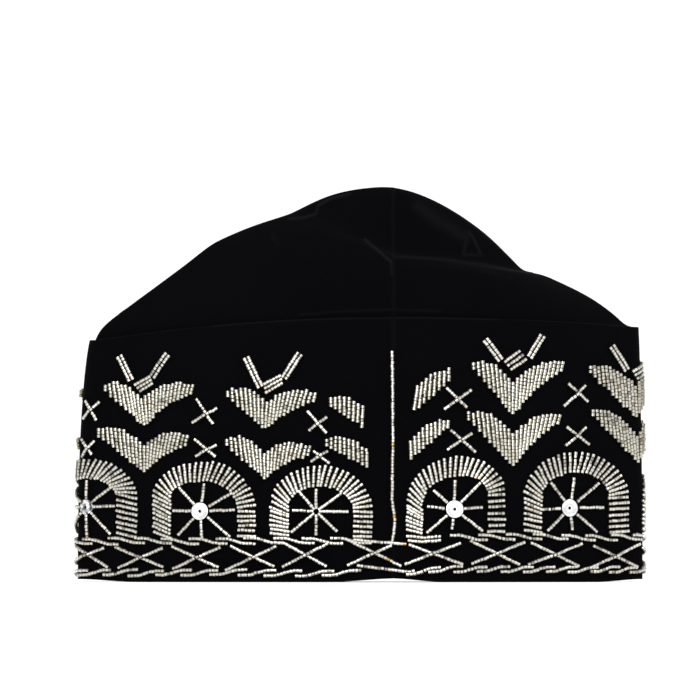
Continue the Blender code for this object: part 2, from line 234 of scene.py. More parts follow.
TIP_LEAN = 0.35  # the foot of the last string lies this share of its length inwards
TIP_DROP = 1.15  # and this share of its length down
CHEVRON_BOW = 0.0036
CHEVRON_FOOT_BOW = 0.0020
CHEVRON_SWAY = 0.0017
Leaf = namedtuple(
    "Leaf", "left_x left_top left_foot_x left_foot right_x right_top right_foot_x right_foot bow",
)
SEAM_LEAVES = (
    Leaf(330.8, 397.5, 331.2, 408.0, 362.6, 406.5, 361.5, 427.0, 0.0021),
    Leaf(327.0, 438.5, 327.0, 446.8, 366.0, 448.5, 366.8, 468.0, 0.0027),
    Leaf(417.9, 386.4, 414.2, 412.1, 448.6, 368.6, 448.6, 383.1, 0.0017),
    Leaf(410.4, 441.1, 411.7, 459.4, 448.2, 420.5, 447.4, 428.7, 0.0034),
)

# The antlers over the upper chevrons: two strings side by side, and the bar of short strings between them
Antler = namedtuple(
    "Antler", "left_x left_y left_foot_x left_foot_y right_x right_y right_foot_x right_foot_y",
)
ANTLERS = (
    Antler(120.2, 356.0, 132.4, 380.8, 168.5, 353.8, 152.7, 377.0),
    Antler(246.5, 357.5, 261.0, 387.5, 300.2, 353.5, 284.0, 378.5),
    Antler(484.7, 339.4, 500.5, 360.9, 542.0, 335.5, 528.6, 357.9),
    Antler(610.8, 345.8, 625.9, 370.3, 668.0, 344.0, 653.0, 369.0),
)
Bar = namedtuple("Bar", "x y end_x end_y last_x last_y last_end_x last_end_y")
BARS = (
    Bar(135.2, 385.2, 151.3, 376.3, 140.0, 391.8, 154.2, 382.7),
    Bar(263.8, 384.3, 281.6, 375.4, 265.5, 393.2, 283.4, 382.6),
    Bar(503.5, 362.5, 519.6, 350.8, 509.5, 370.3, 525.9, 359.0),
    Bar(631.0, 372.0, 647.0, 363.0, 636.0, 379.0, 652.0, 370.0),
)
BAR_STRINGS = 3
BACK_BAR = 0.0042  # the way from a back bar's first string to its last
ANTLER_SPACING = 0.0020

# The small crosses: the arm that lies under, then the arm that lies over
Cross = namedtuple("Cross", "under_x under_y under_end_x under_end_y over_x over_y over_end_x over_end_y")
CROSSES = (
    Cross(86.0, 400.4, 97.7, 420.5, 83.4, 418.8, 100.7, 401.6),
    Cross(81.6, 438.8, 93.2, 455.2, 82.0, 457.0, 95.5, 440.9),
    Cross(197.0, 398.6, 213.8, 424.5, 192.3, 423.0, 218.2, 407.9),
    Cross(195.0, 439.0, 216.4, 457.0, 195.9, 456.6, 217.3, 445.0),
    Cross(307.5, 411.0, 327.0, 433.4, 309.3, 430.7, 327.0, 417.3),
    Cross(313.8, 451.0, 329.8, 463.8, 311.0, 462.0, 328.0, 451.0),
    Cross(446.0, 387.9, 467.0, 408.0, 443.8, 409.8, 471.0, 390.2),
    Cross(450.2, 430.2, 475.5, 452.5, 447.0, 449.8, 471.6, 433.4),
    Cross(567.0, 383.4, 587.0, 401.8, 562.5, 406.3, 584.8, 385.2),
    Cross(565.2, 426.6, 588.4, 445.0, 564.6, 445.9, 585.2, 427.1),
)

# The border: a line of overlapping strings above, another below, and long crosses between them
BorderLine = namedtuple("BorderLine", "side start pitch length height rise")
BORDER_LINES = (
    BorderLine(-1, 0.0105, 0.0142, 0.0200, 0.0211, -0.0024),  # upper left
    BorderLine(1, 0.0272, 0.0136, 0.0186, 0.0211, -0.0022),  # upper right
    BorderLine(-1, 0.0155, 0.0139, 0.0190, 0.0034, 0.0023),  # lower left
    BorderLine(1, 0.0054, 0.0115, 0.0168, 0.0034, 0.0022),  # lower right
)
BORDER_LEVEL = 0.22  # the share of a string that is level at each end
BORDER_POINTS = 9
BORDER_STRAY = 0.0004  # how far a string strays along the line
BORDER_DRIFT = 0.0002  # and up and down
BORDER_MIDDLE = 557.0  # the pixel row half way between the two lines
BORDER_RISE = 0.0017  # right of the seam both lines lie a little higher
BorderRise = namedtuple("BorderRise", "start full wane end")
RISE_SPAN = BorderRise(0.000, 0.025, 0.125, 0.180)
LONG_CROSSES = (
    Cross(66.0, 541.3, 109.5, 567.8, 66.0, 563.4, 105.5, 547.5),
    Cross(115.6, 546.8, 164.6, 567.5, 118.6, 568.2, 164.1, 547.8),
    Cross(172.5, 546.4, 219.6, 567.5, 173.2, 569.2, 221.6, 546.8),
    Cross(230.7, 545.9, 274.9, 566.5, 225.6, 570.5, 276.9, 546.1),
    Cross(283.0, 542.1, 327.0, 566.7, 282.3, 567.1, 328.1, 543.4),
    Cross(346.9, 539.8, 401.7, 566.4, 346.7, 565.6, 391.7, 545.3),
    Cross(409.0, 544.6, 462.9, 564.7, 405.0, 564.7, 460.7, 542.9),
    Cross(469.6, 540.7, 519.0, 565.0, 470.7, 564.3, 524.3, 541.9),
    Cross(530.0, 542.4, 577.9, 566.4, 527.1, 565.0, 581.4, 543.6),
    Cross(591.9, 545.7, 637.9, 567.1, 589.0, 567.9, 641.0, 543.6),
)
BackLongCross = namedtuple("BackLongCross", "pitch half_width top foot first last")
# first and last: the middles of the front's first and last long cross, in pixels
BACK_LONG_CROSS = BackLongCross(0.0285, 0.0117, 0.0170, 0.0066, 91.0, 614.0)
SEAM_STRINGS = (  # the strings that lie across the seam or beside it, in pixels
    ((353.0, 539.6), (372.0, 541.6), (407.0, 544.2)),
    ((406.0, 535.8), (424.0, 537.9), (441.0, 536.3)),
    ((408.0, 540.4), (421.0, 541.9), (440.8, 540.4)),
    ((356.5, 565.6), (388.0, 569.4), (409.0, 572.0), (415.0, 570.6)),
)
FRONT_SEAM_LINE = (
    (392.0, 351.0), (393.0, 440.0), (392.0, 500.0), (395.0, 520.0), (394.0, 535.0), (391.0, 545.0),
)
GOLD_BEADS = ((394, 443), (396, 517), (407, 544), (388, 560))

# Round the back the same motifs are spaced from hub to hub
BACK_CHEVRON_HALF = 0.0232
BackRow = namedtuple("BackRow", "tip notch point")
BACK_CHEVRONS = (BackRow(0.0940, 0.0860, 0.0725), BackRow(0.0700, 0.0620, 0.0492))
BACK_TIP_LENGTH = 0.0033
BACK_CROSSES = (0.0832, 0.0660)
BACK_CROSS_HALF_WIDTH = 0.0052
BACK_CROSS_HALF_HEIGHT = 0.0046
BackAntler = namedtuple("BackAntler", "top_x top foot_x foot")
BACK_ANTLER = BackAntler(0.0125, 0.1080, 0.0055, 0.0950)
BACK_BAR_END = Vector((0.0040, 0.0018))  # half of a back bar's string
BACK_BAR_HEIGHT = 0.0985
BACK_SEAM_POINTS = 14
BACK_SEAM_TOP = 0.1105
BACK_SEAM_FOOT = 0.0640  # below it stands the wheel on the back seam

# The sequins
SEQUIN_SIDES = 36
Ring = namedtuple("Ring", "share height")  # of the radius, and over the middle in half thicknesses
SEQUIN_HOLE = Ring(0.17, 1.3)
SEQUIN_RINGS = (Ring(0.34, 1.1), Ring(0.62, 0.5), Ring(0.86, 1.5), Ring(1.00, 2.6))
SEQUIN_FOIL = 0.00022
CRUSHED_SEQUIN = "sequin_left_3"  # it lies on the side fold
CRUSHED_BEND = 0.0062  # the radius of the fold under it
CRUSHED_SHARE = 0.86  # it lies this much smaller
CRUMPLE_SIZE = 0.0017
CRUMPLE_HEIGHT = 0.00045
# The bent sequin's painted shade: the foil is darkened, standing in for the dark surroundings it mirrors
FOIL_SHADE_LEVEL = 0.5
FOIL_SHADE_DEPTH = 2.2  # how much darker the painted shade makes the hollows of the crumpled foil

# The finishes
FINER_GRAIN = 14.0  # how much finer the grain is than the patches under it
VELVET_BLACK = (0.0008, 0.0008, 0.0012, 1.0)
VELVET_FADED = (0.0013, 0.0013, 0.0017, 1.0)
# the grey painted on as sheen
VELVET_PAINTED_SHEEN = (0.0068, 0.0068, 0.0076, 1.0)
VELVET_SHEEN = (0.85, 0.86, 1.0, 1.0)
LINING_STAIN = (0.62, 0.57, 0.47, 1.0)
FOIL_SILVER = (0.93, 0.94, 0.95, 1.0)
FOIL_SCUFFED = (0.62, 0.63, 0.66, 1.0)
FOIL_PAINTED_SHADE = (0.06, 0.06, 0.065, 1.0)

# The studio
FLOOR_SIZE = 6.0
FLOOR_WHITE = 0.92
SKY_STRENGTH = 1.12
SKY_MIRRORED = 0.62  # the room that the beads mirror is dimmer than the paper
Softbox = namedtuple("Softbox", "name place size power")
SOFTBOXES = (
    Softbox("front_softbox", (-0.3, -1.8, 0.8), 1.1, 20.0),
    Softbox("side_softbox", (1.3, -0.9, 1.1), 0.7, 4.0),
)
SOFTBOX_AIM = Vector((0.0, 0.0, 0.08))

draw = random.Random(STRING_SEED)


def deselect():
    if bpy.context.mode != "OBJECT":
        bpy.ops.object.mode_set(mode="OBJECT")
    bpy.ops.object.select_all(action="DESELECT")


def make_active(thing):
    deselect()
    thing.select_set(True)
    bpy.context.view_layer.objects.active = thing


def lerp(start, end, share):
    return start + (end - start) * share


# The camera, and what it sees
def place_camera():
    lens = CAMERA_SENSOR * (CAMERA_AIM - CAMERA_AT).length / PHOTO_WIDTH
    bpy.ops.object.camera_add(location=CAMERA_AT)
    camera = bpy.context.object
    camera.name = "photo_camera"
    camera.rotation_euler = (CAMERA_AIM - CAMERA_AT).to_track_quat("-Z", "Y").to_euler()
    camera.data.sensor_width = CAMERA_SENSOR
    camera.data.lens = lens
    camera.data.clip_start = 0.01
    bpy.context.scene.camera = camera
    bpy.context.view_layer.update()
    return camera


def pixel_ray(camera, x, y):
    """The direction in which the camera sees a pixel of the photograph."""
    across = (x / PHOTO_PIXELS - 0.5) * camera.data.sensor_width
    up = (0.5 - y / PHOTO_PIXELS) * camera.data.sensor_width
    return (camera.matrix_world.to_3x3() @ Vector((across, up, -camera.data.lens))).normalized()


def seen_pixels(camera, points):
    """The pixels at which the camera sees an array of points."""
    turned = (points - np.array(camera.matrix_world.translation)) @ np.array(camera.matrix_world.to_3x3())
    scale = camera.data.lens / camera.data.sensor_width * PHOTO_PIXELS / -turned[:, 2:3]
    return np.column_stack((turned[:, :1] * scale, -turned[:, 1:2] * scale)) + PHOTO_PIXELS / 2.0


# Shader helpers
def new_group(name, inputs, outputs):
    group = bpy.data.node_groups.new(name, "ShaderNodeTree")
    for label, kind, value in inputs:
        socket = group.interface.new_socket(name=label, in_out="INPUT", socket_type=kind)
        socket.default_value = value
    for label, kind in outputs:
        group.interface.new_socket(name=label, in_out="OUTPUT", socket_type=kind)
    return group, group.nodes.new("NodeGroupInput"), group.nodes.new("NodeGroupOutput")


def new_material(name):
    material = bpy.data.materials.new(name)
    material.use_nodes = True
    return material, material.node_tree, material.node_tree.nodes["Principled BSDF"]


def set_inputs(node, **values):
    """Each value goes to the input of its name, with spaces for the underscores."""
    for label, value in values.items():
        node.inputs[label.replace("_", " ")].default_value = value


def add_group(tree, group, **values):
    node = tree.nodes.new("ShaderNodeGroup")
    node.node_tree = group
    set_inputs(node, **values)
    return node


def add_noise(tree, place, scale, detail):
    node = tree.nodes.new("ShaderNodeTexNoise")
    set_inputs(node, Detail=detail)
    tree.links.new(place, node.inputs["Vector"])
    tree.links.new(scale, node.inputs["Scale"])
    return node.outputs["Fac"]


def read_values(tree, name):
    """What a mesh says of itself, corner by corner, under a name."""
    node = tree.nodes.new("ShaderNodeAttribute")
    node.attribute_name = name
    return node


def speckle_group():
    """Uneven patches at one scale, with a finer grain over them."""
    group, given, made = new_group(
        "uneven_patches",
        (
            ("Scale", "NodeSocketFloat", 100.0),
            ("Grain", "NodeSocketFloat", 0.3),
            ("Stretch", "NodeSocketVector", (1, 1, 1)),
        ),
        (("Mask", "NodeSocketFloat"), ("Grain Height", "NodeSocketFloat")),
    )
    nodes, links = group.nodes, group.links
    place = nodes.new("ShaderNodeTexCoord")
    stretch = nodes.new("ShaderNodeMapping")
    links.new(place.outputs["Object"], stretch.inputs["Vector"])
    links.new(given.outputs["Stretch"], stretch.inputs["Scale"])
    finer = nodes.new("ShaderNodeMath")
    finer.operation = "MULTIPLY"
    finer.inputs[1].default_value = FINER_GRAIN
    links.new(given.outputs["Scale"], finer.inputs[0])
    patches = add_noise(group, stretch.outputs["Vector"], given.outputs["Scale"], 3.0)
    grain = add_noise(group, stretch.outputs["Vector"], finer.outputs[0], 2.0)
    mix = nodes.new("ShaderNodeMix")
    links.new(given.outputs["Grain"], mix.inputs["Factor"])
    links.new(patches, mix.inputs["A"])
    links.new(grain, mix.inputs["B"])
    links.new(mix.outputs["Result"], made.inputs["Mask"])
    links.new(grain, made.inputs["Grain Height"])
    return group


def mix_colours(tree, factor, first, second):
    """A mix of two colours. The first is a colour, or another node's output."""
    mix = tree.nodes.new("ShaderNodeMix")
    mix.data_type = "RGBA"
    if isinstance(first, tuple):
        mix.inputs["A"].default_value = first
    else:
        tree.links.new(first, mix.inputs["A"])
    mix.inputs["B"].default_value = second
    tree.links.new(factor, mix.inputs["Factor"])
    return mix


def ramp(tree, value, low, high, out_low, out_high):
    spread = tree.nodes.new("ShaderNodeMapRange")
    set_inputs(spread, From_Min=low, From_Max=high, To_Min=out_low, To_Max=out_high)
    tree.links.new(value, spread.inputs["Value"])
    return spread.outputs["Result"]


def bump(tree, shader, height, strength, distance):
    node = tree.nodes.new("ShaderNodeBump")
    set_inputs(node, Strength=strength, Distance=distance)
    tree.links.new(height, node.inputs["Height"])
    tree.links.new(node.outputs["Normal"], shader.inputs["Normal"])


def velvet_material(patches):
    """Black cotton velvet: it drinks light, and a painted sheen turns it a little grey along its seams, on
    the crests of its creases and on the band's turned top edge.
    """
    material, tree, shader = new_material("black_velvet")
    nap = add_group(tree, patches, Scale=22.0, Grain=0.25)
    # Painted sheen: the colour turns a little grey where the mesh's values say, along seams, crests and the
    # band's top edge
    crushed = read_values(tree, "painted_sheen")
    faded = ramp(tree, nap.outputs["Mask"], 0.35, 0.65, 0.0, 1.0)
    black = mix_colours(tree, faded, VELVET_BLACK, VELVET_FADED)
    grey = mix_colours(tree, crushed.outputs["Fac"], black.outputs["Result"], VELVET_PAINTED_SHEEN)
    tree.links.new(grey.outputs["Result"], shader.inputs["Base Color"])
    tree.links.new(ramp(tree, nap.outputs["Mask"], 0.3, 0.7, 0.86, 1.0), shader.inputs["Roughness"])
    pile = add_group(tree, patches, Scale=420.0, Grain=0.6, Stretch=(1.0, 1.0, 0.35))
    bump(tree, shader, pile.outputs["Mask"], 0.35, 0.0002)
    set_inputs(shader, Specular_IOR_Level=0.03)
    set_inputs(shader, Sheen_Weight=0.014, Sheen_Roughness=0.42, Sheen_Tint=VELVET_SHEEN)
    return material


def bead_material(patches):
    """Silver-lined glass, with the lining stained here and there. Its colour carries a painted shade down
    each bead's flanks, so each bead is bright in the middle.
    """
    material, tree, shader = new_material("silver_lined_glass")
    own = read_values(tree, "bead_colour")
    stain = add_group(tree, patches, Scale=900.0, Grain=0.4)
    stained = ramp(tree, stain.outputs["Mask"], 0.42, 0.72, 0.0, 0.8)
    shade = mix_colours(tree, stained, own.outputs["Color"], LINING_STAIN)
    shade.blend_type = "MULTIPLY"
    tree.links.new(shade.outputs["Result"], shader.inputs["Base Color"])
    tree.links.new(ramp(tree, stain.outputs["Mask"], 0.3, 0.7, 0.16, 0.34), shader.inputs["Roughness"])
    set_inputs(shader, Metallic=0.85, Coat_Weight=0.35, Coat_Roughness=0.06)
    return material


def sequin_material(patches):
    """Silver foil under a clear film, scuffed, and with a painted shade on the bent sequin."""
    material, tree, shader = new_material("silver_foil")
    scuff = add_group(tree, patches, Scale=380.0, Grain=0.5)
    scuffed = ramp(tree, scuff.outputs["Mask"], 0.52, 0.75, 0.0, 1.0)
    foil = mix_colours(tree, scuffed, FOIL_SILVER, FOIL_SCUFFED)
    foil_painted_shade = read_values(tree, "foil_painted_shade")
    # Painted shade on the bent sequin, from the mesh's values
    worn = mix_colours(tree, foil_painted_shade.outputs["Fac"], foil.outputs["Result"], FOIL_PAINTED_SHADE)
    tree.links.new(worn.outputs["Result"], shader.inputs["Base Color"])
    tree.links.new(ramp(tree, scuff.outputs["Mask"], 0.3, 0.7, 0.12, 0.36), shader.inputs["Roughness"])
    bump(tree, shader, scuff.outputs["Grain Height"], 0.12, 0.0001)
    set_inputs(shader, Metallic=0.8, Coat_Weight=0.4, Coat_Roughness=0.05)
    return material


# The velvet
def crease_field(camera, points):
    """How far each point is moved out of the cloth by the creases, and how much painted sheen lies on their
    crests.
    """
    pixels = seen_pixels(camera, points)
    moved = np.zeros(len(points))
    crushed = np.zeros(len(points))
    front = points[:, 1] < FRONT_FACE
    faced = [(crease, front) for crease in CREASES] + [(crease, ~front) for crease in BACK_CREASES]
    for crease, face in faced:
        line = np.array(crease.line, float)
        nearest = np.full(len(points), np.inf)
        for start, end in zip(line[:-1], line[1:]):
            along = end - start
            share = np.clip(((pixels - start) @ along) / (along @ along), 0.0, 1.0)
            nearest = np.minimum(nearest, np.linalg.norm(pixels - start - share[:, None] * along, axis=1))
        near = np.exp(-((nearest * PIXEL / crease.width) ** 2)) * face
        moved += crease.height * near
        # Only a crease that stands out takes painted sheen, on its crest
        if crease.height > 0.0:
            crushed = np.maximum(crushed, near * min(1.0, crease.height / FULL_SHEEN_HEIGHT))
    return moved, crushed


def wave_field(points):
    """Soft waves and the fine pucker of the stitching, the same on both sides of a seam."""
    moved = np.zeros(len(points))
    for index, point in enumerate(points):
        wave = WAVE_HEIGHT * noise.noise(Vector(point) / WAVE_SIZE)
        moved[index] = wave + PUCKER_HEIGHT * noise.noise(Vector(point) / PUCKER_SIZE)
    return moved


def smooth_form(node, kind):
    """A copy of a solid, with its walls made smooth and its cut edges turned."""
    piece = bpy.data.objects.new(f"velvet_{node}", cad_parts[node].data.copy())
    bpy.context.scene.collection.objects.link(piece)
    make_active(piece)
    bpy.ops.object.mode_set(mode="EDIT")
    bpy.ops.mesh.select_all(action="SELECT")
    bpy.ops.mesh.remove_doubles(threshold=MERGE_REACH)
    bpy.ops.mesh.tris_convert_to_quads(face_threshold=QUAD_BEND, shape_threshold=QUAD_SKEW)
    bpy.ops.mesh.select_mode(type="EDGE")
    bpy.ops.mesh.select_all(action="DESELECT")
    bpy.ops.mesh.edges_select_sharp(sharpness=CORNER_ANGLE)
    bpy.ops.transform.edge_crease(value=1.0)
    bpy.ops.object.mode_set(mode="OBJECT")
    smooth = piece.modifiers.new("smooth", "SUBSURF")
    smooth.levels = smooth.render_levels = SMOOTH_LEVELS
    bpy.ops.object.modifier_apply(modifier=smooth.name)
    turned = piece.modifiers.new("turned_edge", "BEVEL")
    turned.width = ROLLED_EDGE[kind]
    turned.segments = ROLLED_SEGMENTS
    turned.angle_limit = ROLLED_ANGLE
    bpy.ops.object.modifier_apply(modifier=turned.name)
    return piece


def corner_rows(mesh, name):
    """The places or the normals of a mesh's corners, a row for each."""
    values = np.empty(len(mesh.vertices) * 3)
    mesh.vertices.foreach_get(name, values)
    return values.reshape(-1, 3)


def add_values(mesh, name, values):
    """A value for each corner, which the material reads."""
    attribute = mesh.attributes.new(name, "FLOAT", "POINT")
    attribute.data.foreach_set("value", values.astype(np.float32))


def dress(piece, material):
    piece.data.materials.clear()
    piece.data.materials.append(material)
    piece.data.shade_smooth()


def lay_velvet(node, camera, material):
    """Half of the band or the crown in velvet: the smooth form, with waves and creases."""
    kind, half = node.split("_")
    piece = smooth_form(node, kind)
    points = corner_rows(piece.data, "co")
    normals = corner_rows(piece.data, "normal")
    creased, crushed = crease_field(camera, points)
    outward = np.sign(normals[:, 1] * points[:, 1])[:, None] * normals
    ground = np.clip((points[:, 2] - RIM_STILL) / RIM_EASE, 0.0, 1.0)[:, None]
    points = points + outward * WAVE_WAY * (wave_field(points)[:, None] * ground + creased[:, None])

    # The halves meet: the small gap between the solids is drawn shut
    low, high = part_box(node)
    seam, way = (high.x, 1.0) if half == "left" else (low.x, -1.0)
    points[:, 0] += way * SEAM_SHUT * np.exp(-(((points[:, 0] - seam) / SEAM_SHUT_WIDTH) ** 2))
    piece.data.vertices.foreach_set("co", points.ravel())
    piece.data.update()

    # Painted sheen: the colour is lighter along the crests of the creases, along the seam and on the turned
    # top edge
    edge = np.exp(-(((points[:, 0] - seam) / SEAM_SHEEN_WIDTH) ** 2)) * SEAM_SHEEN
    crushed = np.maximum(crushed, edge)
    if kind == "band":
        # The upward face of the turned top edge takes more painted sheen, as if lit from above
        turned_out = (normals[:, 1] * points[:, 1] > 0.0) & (normals[:, 2] > TOP_EDGE_TURN)
        crushed = np.maximum(crushed, turned_out * TOP_EDGE_SHEEN)
    add_values(piece.data, "painted_sheen", crushed)
    dress(piece, material)
    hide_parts(node)
    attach(piece, "root")
    return piece


def joined_tree(pieces):
    """A search tree over several pieces at once."""
    corners, faces = [], []
    for piece in pieces:
        start = len(corners)
        corners += [vertex.co.copy() for vertex in piece.data.vertices]
        faces += [[start + index for index in polygon.vertices] for polygon in piece.data.polygons]
    return BVHTree.FromPolygons(corners, faces)


class FlatCloth:
    """The band's outer face laid flat: along from the front seam, to the right, and up from the floor."""

    def __init__(self, tree, seam_x, camera):
        self.tree = tree
        self.camera = camera
        self.heights = np.linspace(LOW_COURSE, HIGH_COURSE, COURSES)
        left, right = self.measure(-1, seam_x), self.measure(1, seam_x)
        front, back = [(left[:, end] + right[:, end])[:, None] / 2.0 for end in (0, -1)]
        self.sides = {}
        for side, points in ((-1, left), (1, right)):
            points = np.concatenate((front, points, back), axis=1)
            steps = np.linalg.norm(np.diff(points, axis=1), axis=2)
            lengths = np.concatenate((np.zeros((COURSES, 1)), np.cumsum(steps, axis=1)), axis=1)
            self.sides[side] = points, lengths

    def measure(self, side, seam_x):
        """Rows of points on one half, from the front seam round the side fold to the back seam."""
        points = np.zeros((COURSES, 2 * FACE_COLUMNS + FOLD_COLUMNS, 3))
        for row, height in enumerate(self.heights):
            tip = self.tree.ray_cast(Vector((side * FAR_OUT, 0.0, height)), Vector((-side, 0.0, 0.0)))[0]
            if tip.x * side > FOLD_LEAST:
                fold_x = tip.x - side * FOLD_REACH
            starts = []
            for column in range(FACE_COLUMNS):
                share = column / (FACE_COLUMNS - 1)
                x = lerp(seam_x + side * SEAM_MARGIN, fold_x, share)
                starts.append((Vector((x, -FAR_OUT, height)), Vector((0.0, 1.0, 0.0))))
            for column in range(FOLD_COLUMNS):
                angle = math.pi * ((column + 1) / (FOLD_COLUMNS + 1) - 0.5)
                way = Vector((side * math.cos(angle), math.sin(angle), 0.0))
                starts.append((Vector((fold_x, 0.0, height)) + way * FAR_OUT, -way))
            for start, _way in reversed(starts[:FACE_COLUMNS]):
                starts.append((Vector((start.x, FAR_OUT, height)), Vector((0.0, -1.0, 0.0))))
            below = points[row - 1]
            for column, (start, way) in enumerate(starts):
                hit = self.tree.ray_cast(start, way)[0]
                strayed = hit is None or row > 0 and np.linalg.norm(np.array(hit) - below[column]) > STRAY_HIT
                points[row, column] = 2.0 * below[column] - points[row - 2, column] if strayed else hit
        return points

    def course(self, height):
        return int(np.argmin(np.abs(self.heights - height)))

    def length(self, side, height=MIDDLE_COURSE):
        return float(self.sides[side][1][self.course(height), -1])

    def point(self, along, up):
        place = (up - self.heights[0]) / (self.heights[1] - self.heights[0])
        row = int(np.clip(math.floor(place), 0, COURSES - 2))
        found = []
        for course in (row, row + 1):
            side, distance = math.copysign(1, along), abs(along)
            past = distance - self.sides[side][1][course, -1]
            if past > 0.0:  # past the back seam the other half goes on
                side, distance = -side, self.sides[-side][1][course, -1] - past
            points, lengths = self.sides[side]
            found.append([np.interp(distance, lengths[course], points[course, :, axis]) for axis in range(3)])
        return Vector(lerp(np.array(found[0]), np.array(found[1]), place - row))

    def frame_at(self, along, up):
        """The point, and the outward normal, averaged over the width of a bead."""
        middle = self.point(along, up)
        rightward = self.point(along + NORMAL_REACH, up) - self.point(along - NORMAL_REACH, up)
        upward = self.point(along, up + NORMAL_REACH) - self.point(along, up - NORMAL_REACH)
        return middle, rightward.cross(upward).normalized()

    def flat_place(self, point):
        """Where a point of the band lies on the flat cloth."""
        best = None
        row = self.course(point.z)
        for side in (-1, 1):
            points, lengths = self.sides[side]
            gaps = np.linalg.norm(points[row][:, :2] - np.array(point[:2]), axis=1)
            near, other = np.argsort(gaps)[:2]
            if best is None or gaps[near] < best[0]:
                share = gaps[near] / (gaps[near] + gaps[other])
                best = (gaps[near], side * float(lerp(lengths[row, near], lengths[row, other], share)))
        return Vector((best[1], point.z))

    def from_photo(self, x, y):
        """Where a pixel of the photograph lies on the flat cloth, also past the side folds."""
        held, hit = min(max(x, SAFE_PIXELS[0]), SAFE_PIXELS[1]), None
        while hit is None:
            hit = self.tree.ray_cast(self.camera.matrix_world.translation, pixel_ray(self.camera, held, y))[0]
            held += 0.0 if hit else math.copysign(SAFE_STEP, PHOTO_PIXELS / 2.0 - x)
        place = self.flat_place(hit)
        return place + Vector(((x - held) * PIXEL, 0.0))

    def seen_beside(self, hub):
        """A chart round a place on the cloth, in pixels as the camera sees them."""
        x, y = seen_pixels(self.camera, np.array([self.point(*hub)]))[0]
        return lambda place: self.from_photo(x + place.x, y - place.y)

    def flat_beside(self, hub):
        """The same, where the camera doesn't see the cloth."""
        return lambda place: hub + place * PIXEL


# Strings of beads on the flat cloth
def polyline_point(path, share):
    steps = [(b - a).length for a, b in zip(path, path[1:])]
    left = share * sum(steps)
    for start, end, step in zip(path, path[1:], steps):
        if left <= step:
            return lerp(start, end, left / step)
        left -= step
    return path[-1]


class Beadwork:
    """The beads of one piece, gathered string by string, then joined into one mesh."""

    def __init__(self, name, cloth):
        self.name = name
        self.cloth = cloth
        packed = "chevrons" in name
        self.flank = PACKED_PAINTED_SHADE if packed else LONE_PAINTED_SHADE
        self.diameter = PACKED_DIAMETER if packed else BEAD_DIAMETER
        self.places = []
        self.colours = []

    def seat(self, path, length, share, over):
        """Where the middle of a bead stands at a share of the path, and the cloth's normal there."""
        point, normal = self.cloth.frame_at(*polyline_point(path, share))
        lift = STRING_LIFT * math.sin(math.pi * share)
        if over:
            from_middle = (share - 0.5) * length / CROSSING_REACH
            lift += CROSSING_LIFT * math.exp(-(from_middle**2))
        return point + normal * (self.diameter / 2.0 * BEAD_SEAT + lift), normal

    def seats(self, path, over):
        """The seats of a string's beads, and the length that each bead has for itself."""
        length = sum((b - a).length for a, b in zip(path, path[1:]))
        count = max(2, round(length / BEAD_PITCH))
        shares = (np.arange(count) + 0.5) / count
        seats = [self.seat(path, length, share, over) for share in shares]
        gaps = [(b[0] - a[0]).length for a, b in zip(seats, seats[1:])]
        travelled = gaps[0] / 2.0 + np.concatenate(((0.0,), np.cumsum(gaps)))
        worn = float(travelled[-1] + gaps[-1] / 2.0)
        if worn > STRETCHED * length:  # round a fold, or over a crossing, the beads' own line is longer
            count = max(2, round(worn / BEAD_PITCH))
            even = (np.arange(count) + 0.5) / count * worn
            shares = np.interp(even, (0.0, *travelled, worn), (0.0, *shares, 1.0))
            seats = [self.seat(path, length, float(share), over) for share in shares]
            length = worn
        return seats, length / count

    def string(self, path, over=False):
        """A string of beads along a path on the flat cloth. One that lies over another rises midway."""
        seats, room = self.seats([Vector(point) for point in path], over)
        for bead, (centre, normal) in enumerate(seats):
            before = seats[max(bead - 1, 0)][0]
            after = seats[min(bead + 1, len(seats) - 1)][0]
            run = (after - before).normalized()
            stray = Vector([draw.gauss(0.0, BEAD_STRAY) for _ in range(3)])
            wide = self.diameter * (1.0 + draw.gauss(0.0, BEAD_SPREAD))
            long = BEAD_LENGTH * (1.0 + draw.gauss(0.0, BEAD_SPREAD))
            if len(seats) > 2:
                long = min(long, room)
            side = run.cross(normal).normalized()
            roll = draw.uniform(0.0, math.tau / BEAD_SIDES)
            across = side * math.cos(roll) + side.cross(run) * math.sin(roll)
            self.places.append((centre + stray, across * wide, run.cross(across) * wide, run * long, normal))
            self.colours.append(bead_colour())

    def mesh(self, bead, material):
        corners, faces = bead
        places = np.array([[list(v) for v in place] for place in self.places])
        beads = len(places)
        points = places[:, None, 0, :] + np.einsum("vk,nkc->nvc", corners, places[:, 1:4, :])
        starts = np.arange(beads) * len(corners)
        all_faces = [[int(start) + index for index in face] for start in starts for face in faces]
        data = bpy.data.meshes.new(self.name)
        data.from_pydata(points.reshape(-1, 3).tolist(), [], all_faces)
        colours = np.repeat(np.array(self.colours, np.float32), len(corners), axis=0)
        # Painted shade: the flanks of each bead are darkened in its colour
        colours[:, :3] *= painted_flank_shade(corners, places, self.flank).reshape(-1, 3)
        attribute = data.attributes.new("bead_colour", "FLOAT_COLOR", "POINT")
        attribute.data.foreach_set("color", colours.ravel())
        data.materials.append(material)
        data.shade_smooth()
        data.set_sharp_from_angle(angle=NOSE_ANGLE)
        piece = bpy.data.objects.new(self.name, data)
        bpy.context.scene.collection.objects.link(piece)
        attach(piece, "root")


